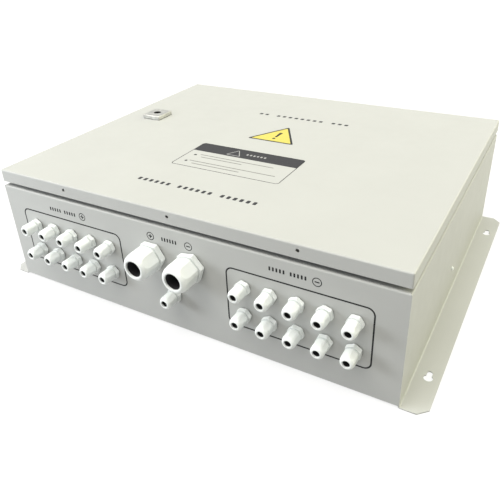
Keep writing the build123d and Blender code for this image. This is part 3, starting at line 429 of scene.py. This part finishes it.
panel_half = 87 * MM
panel_top = -37.5 * MM
panel_header = -68 * MM
panel_bottom = -125.5 * MM
panel_corner = 5 * MM
panel_line = 1.1 * MM
emblem_x = -19.5 * MM
emblem_base = -64 * MM
emblem_side = 24 * MM
emblem_line = 1.1 * MM
panel_title = ((6,), -3 * MM, 32 * MM, -55.5 * MM)  # letters, left end, right end, baseline
panel_title_height = 4.2 * MM
panel_rule_half = 0.9 * MM
panel_rules = (  # left end, right end, y
    (-65 * MM, 57 * MM, -80.5 * MM),
    (-59 * MM, 10 * MM, -88.5 * MM),
    (-68 * MM, 72 * MM, -105 * MM),
    (-59 * MM, 20 * MM, -113 * MM),
)
bullet_x = -72 * MM
bullet_rows = (-84 * MM, -108 * MM)
bullet_radius = 2.2 * MM

door_caption_rows = (  # letters in each word, left end, right end, baseline, height
    ((2, 8, 3), -81 * MM, 89 * MM, 122.5 * MM, 6.5 * MM),
    ((6, 6, 6), -97 * MM, 92 * MM, -190 * MM, 7.5 * MM),
)


def triangle(x, base, side, inset, corner):
    """An upright triangle on its base, shrunk evenly by inset, with rounded corners."""
    side = side - 2 * sqrt(3) * inset
    base = base + inset
    points = [(x - side / 2, base), (x + side / 2, base), (x, base + side * sqrt(3) / 2)]
    return rounded(points, corner, 6)


def caution_triangle():
    """A yellow triangle with a dark border and a plain bar and dot."""
    outer = triangle(triangle_x, triangle_base, triangle_side, 0, 2.2 * MM)
    inner = triangle(triangle_x, triangle_base, triangle_side, triangle_border, 1.2 * MM)
    border = Print(on_door)
    border.ring(outer, inner)
    border.slab(circle(triangle_x, triangle_dot_y, triangle_dot_radius, 32))
    bar = [
        (triangle_x - triangle_bar_foot, triangle_bar_low),
        (triangle_x + triangle_bar_foot, triangle_bar_low),
        (triangle_x + triangle_bar_head, triangle_bar_high),
        (triangle_x - triangle_bar_head, triangle_bar_high),
    ]
    border.slab(rounded(bar, 1.2 * MM, 5))
    border.finish("caution_triangle_border", "door", dark_ink, "dark_print")
    field = Print(on_door, high=0.6 * INK)
    field.slab(inner)
    field.finish("caution_triangle_field", "door", yellow_ink, "yellow_print")


def notice_panel():
    """A framed panel with a dark header, and plain rules where its text would be."""
    outline = Print(on_door)
    outline.frame(-panel_half, panel_bottom, panel_half, panel_top, panel_corner, panel_line)
    edge = panel_half - panel_line / 2
    top = panel_top - panel_line / 2
    header = rounded(rectangle(-edge, panel_header, edge, top), panel_corner - panel_line)
    upper = [(x, y) for x, y in header if y > (panel_header + top) / 2]
    outline.slab([(edge, panel_header), *upper, (-edge, panel_header)])
    outline.finish("notice_panel_frame", "door", grey_ink, "dark_print")
    emblem = Print(on_door, high=2 * INK)
    emblem.ring(
        triangle(emblem_x, emblem_base, emblem_side, 0, 1.2 * MM),
        triangle(emblem_x, emblem_base, emblem_side, emblem_line, 0.6 * MM),
    )
    emblem.letters(*panel_title, panel_title_height)
    emblem.finish("notice_panel_emblem", "door", light_ink, "dark_print")
    rules = Print(on_door)
    for x0, x1, y in panel_rules:
        rule = rectangle(x0, y - panel_rule_half, x1, y + panel_rule_half)
        rules.slab(rounded(rule, 0.5 * MM, 3))
    rules.finish("notice_panel_rules", "door", faint_ink, "dark_print")
    bullets = Print(on_door)
    for y in bullet_rows:
        bullets.slab(circle(bullet_x, y, bullet_radius, 24))
    bullets.finish("notice_panel_bullets", "door", grey_ink, "dark_print")


def door_captions():
    """Two rows of blocks, one near each end of the door."""
    words = Print(on_door)
    for row in door_caption_rows:
        words.letters(*row)
    words.finish("door_captions", "door", grey_ink, "dark_print")


# ---------------------------------------------------------------------------
# A black sleeve lining the key recess: painted shade standing in for the shade in the bore
# ---------------------------------------------------------------------------

# Sizes of the painted-shade sleeve in the key recess
recess_set_back = 0.15 * MM
recess_depth = 7.6 * MM
recess_outer = 6.6 * MM
recess_inner = 5.9 * MM
recess_foot_inner = 5 * MM
recess_foot = 0.3 * MM


def turned(name, profile, x, y, body, material, steps=48):
    """A closed ring turned about a vertical axis through x, y from a closed (radius, z) profile."""
    mesh = bmesh.new()
    rings = []
    for i in range(steps):
        a = 2 * pi * i / steps
        rings.append([mesh.verts.new((x + r * cos(a), y + r * sin(a), z)) for r, z in profile])
    for i in range(steps):
        here = rings[i]
        there = rings[(i + 1) % steps]
        for k in range(len(profile)):
            j = (k + 1) % len(profile)
            mesh.faces.new((here[k], there[k], there[j], here[j]))
    finish_mesh(mesh, name, body, material)


def recess_shade_sleeve():
    """A thin black sleeve in the lock's bore, with a foot that turns inwards: painted shade for the
    bore's own shade.
    """
    low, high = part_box("lock_housing")
    x = (low.x + high.x) / 2
    y = (low.y + high.y) / 2
    top = high.z - recess_set_back
    floor = top - recess_depth
    profile = [
        (recess_outer, top),
        (recess_outer, floor),
        (recess_foot_inner, floor),
        (recess_foot_inner, floor + recess_foot),
        (recess_inner, floor + recess_foot),
        (recess_inner, top),
    ]
    # The black rubber here is painted shade: it darkens a bore that is dark only from shade
    turned("lock_recess_painted_shade", profile, x, y, "door", black_rubber)


# ---------------------------------------------------------------------------
# Marks on the devices inside
# ---------------------------------------------------------------------------

mark_corner = 0.8 * MM
carrier_grip_height = 9 * MM
carrier_label_near = 9 * MM
carrier_label_width = 9 * MM
carrier_label_length = 11 * MM
lamp_radius = 1.8 * MM
lamp_proud = 0.5 * MM
lamp_from_label = 15.5 * MM  # from the label's near end

window_recess = 0.6 * MM
window_from_middle = 8 * MM
window_half_width = 2.9 * MM
window_half_length = 3.9 * MM
cartridge_label_half_width = 5 * MM
cartridge_label_far = 8 * MM  # back from the window's middle to the label's ends
cartridge_label_near = 22 * MM

breaker_poles = 4
pole_pitch = 18 * MM
breaker_label_half = 32 * MM
breaker_label_near = 21 * MM  # back from the middle to the label's edges
breaker_label_far = 14.5 * MM
on_bar_half = 0.6 * MM
on_bar_near = 14 * MM
on_bar_far = 18 * MM


def level_print(z, low=BURIED, high=INK):
    """Print on a level face at height z."""
    return Print(lambda x, y, h: (x, y, z + h), low, high)


def fuse_carrier_marks():
    """Each carrier has a plain label field and a round blown-fuse lamp."""
    half = carrier_label_width / 2
    for i in range(1, 11):
        low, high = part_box(f"fuse_carrier_{i}")
        x = (low.x + high.x) / 2
        face = high.z - carrier_grip_height
        label = level_print(face)
        near = low.y + carrier_label_near
        field = rectangle(x - half, near, x + half, near + carrier_label_length)
        label.slab(rounded(field, mark_corner, 4))
        label.finish(f"fuse_label_{i}", f"carrier_{i}", label_white, "carrier_plastic")
        lamp = level_print(face, high=lamp_proud)
        lamp.slab(circle(x, near + lamp_from_label, lamp_radius, 24))
        lamp.finish(f"fuse_lamp_{i}", f"carrier_{i}", lamp_red, "cartridge_plastic")


def cartridge_windows():
    """A green state window at the bottom of each cartridge's recess, and a plain label."""
    for i in range(1, 4):
        low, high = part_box(f"surge_cartridge_{i}")
        x = (low.x + high.x) / 2
        y = (low.y + high.y) / 2 + window_from_middle
        window = level_print(high.z, BURIED - window_recess, 0.2 * MM - window_recess)
        window.slab(rectangle(
            x - window_half_width, y - window_half_length,
            x + window_half_width, y + window_half_length,
        ))
        window.finish(f"cartridge_window_{i}", f"cartridge_{i}", window_green, "cartridge_plastic")
        label = level_print(high.z)
        field = rectangle(
            x - cartridge_label_half_width, y - cartridge_label_near,
            x + cartridge_label_half_width, y - cartridge_label_far,
        )
        label.slab(rounded(field, mark_corner, 4))
        label.finish(f"cartridge_label_{i}", f"cartridge_{i}", label_white, "cartridge_plastic")


def breaker_marks():
    """A label strip on the breaker's front, and a white bar on each pole where the toggle is on."""
    low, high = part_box("breaker_case")
    x = (low.x + high.x) / 2
    y = (low.y + high.y) / 2
    marks = level_print(high.z)
    field = rectangle(
        x - breaker_label_half, y - breaker_label_near,
        x + breaker_label_half, y - breaker_label_far,
    )
    marks.slab(rounded(field, mark_corner, 4))
    for pole in range(breaker_poles):
        pole_x = x + (pole - (breaker_poles - 1) / 2) * pole_pitch
        bar = rectangle(
            pole_x - on_bar_half, y + on_bar_near, pole_x + on_bar_half, y + on_bar_far
        )
        marks.slab(rounded(bar, 0.5 * MM, 4))
    marks.finish("breaker_marks", "enclosure", label_white, "carrier_plastic")


gland_wall_print()
caution_triangle()
notice_panel()
door_captions()
recess_shade_sleeve()
fuse_carrier_marks()
cartridge_windows()
breaker_marks()


# ---------------------------------------------------------------------------
# Floor, lights and camera
# ---------------------------------------------------------------------------

white = (1, 1, 1, 1)
floor_reach = 12
floor_drop = 0.2 * MM  # just clear of the flanges
floor_look = 0.76
floor_fill = 0.3
backdrop_look = 1.0
backdrop_fill = 0.2

camera_place = (0.3953, -0.7101, 0.4875)
camera_azimuth = radians(31.109)
camera_elevation = radians(28.496)
camera_roll = radians(-2.516)
camera_lens = 40.228
camera_sensor = 36
camera_shift = -0.06


def dim_as_fill(tree, look, fill, socket):
    """Drives a strength: look as seen or mirrored, look times fill as a source of soft light."""
    path = tree.nodes.new("ShaderNodeLightPath")
    mix = tree.nodes.new("ShaderNodeMath")
    mix.operation = "MULTIPLY_ADD"
    mix.inputs[1].default_value = look * (fill - 1)
    mix.inputs[2].default_value = look
    tree.links.new(path.outputs["Is Diffuse Ray"], mix.inputs[0])
    tree.links.new(mix.outputs[0], socket)


def make_floor():
    """A pale light table: it stays white around the object, with only a faint contact shadow."""
    data = bpy.data.meshes.new("floor")
    square = rectangle(-floor_reach, -floor_reach, floor_reach, floor_reach)
    data.from_pydata([(x, y, -floor_drop) for x, y in square], [], [(0, 1, 2, 3)])
    shader = Shader("floor", (0.22, 0.22, 0.22), 0.9)
    shader.set("Emission Color", white)
    emission = shader.principled.inputs["Emission Strength"]
    dim_as_fill(shader.tree, floor_look, floor_fill, emission)
    shader.set("Specular IOR Level", 0.0)
    data.materials.append(shader.material)
    floor = bpy.data.objects.new("floor", data)
    bpy.context.scene.collection.objects.link(floor)


def add_lamp(name, light, color, place, aim):
    """Puts a light at a place, aimed at a point."""
    light.color = color
    lamp = bpy.data.objects.new(name, light)
    lamp.location = place
    lamp.rotation_euler = (Vector(aim) - Vector(place)).to_track_quat("-Z", "Y").to_euler()
    bpy.context.scene.collection.objects.link(lamp)


def area_light(name, place, aim, size, power, color):
    light = bpy.data.lights.new(name, "AREA")
    light.shape = "DISK"
    light.size = size
    light.energy = power
    add_lamp(name, light, color, place, aim)


def sun_light(name, direction, spread, strength, color):
    """Light from that direction, softened over spread degrees."""
    light = bpy.data.lights.new(name, "SUN")
    light.angle = radians(spread)
    light.energy = strength
    add_lamp(name, light, color, direction, (0, 0, 0))


def make_world():
    """A white backdrop, dimmer as a source of light than it looks."""
    world = bpy.data.worlds.new("studio")
    world.use_nodes = True
    tree = world.node_tree
    background = tree.nodes["Background"]
    background.inputs["Color"].default_value = white
    dim_as_fill(tree, backdrop_look, backdrop_fill, background.inputs["Strength"])
    bpy.context.scene.world = world


def make_camera():
    """Looks down at the gland end from the right, tilted a little."""
    level = Vector((cos(camera_azimuth), sin(camera_azimuth), 0))
    ahead = Vector((
        -sin(camera_azimuth) * cos(camera_elevation),
        cos(camera_azimuth) * cos(camera_elevation),
        -sin(camera_elevation),
    ))
    upright = level.cross(ahead)
    right = level * cos(camera_roll) + upright * sin(camera_roll)
    up = right.cross(ahead)
    turn = Matrix((right, up, -ahead)).transposed()
    data = bpy.data.cameras.new("camera")
    data.lens = camera_lens
    data.sensor_width = camera_sensor
    data.shift_y = camera_shift
    camera = bpy.data.objects.new("camera", data)
    camera.matrix_world = Matrix.Translation(camera_place) @ turn.to_4x4()
    bpy.context.scene.collection.objects.link(camera)
    bpy.context.scene.camera = camera


make_floor()
make_world()
sun_light("key", (-0.16, -0.22, 0.95), spread=60, strength=3.75, color=(1, 0.99, 0.94))
sun_light("right", (0.85, 0.45, 0.5), spread=70, strength=1.6, color=(1, 0.985, 0.66))
area_light(
    "front_left", (-1.0, -1.0, 0.45), (-0.1, -0.25, 0.09),
    size=0.6, power=9.5, color=(0.90, 0.95, 1.0),
)
area_light(
    "right_back", (1.5, 1.5, 0.75), (0.3, 0.1, 0.05),
    size=0.9, power=13, color=(1, 0.99, 0.78),
)
bpy.context.scene.view_settings.view_transform = "Standard"
make_camera()
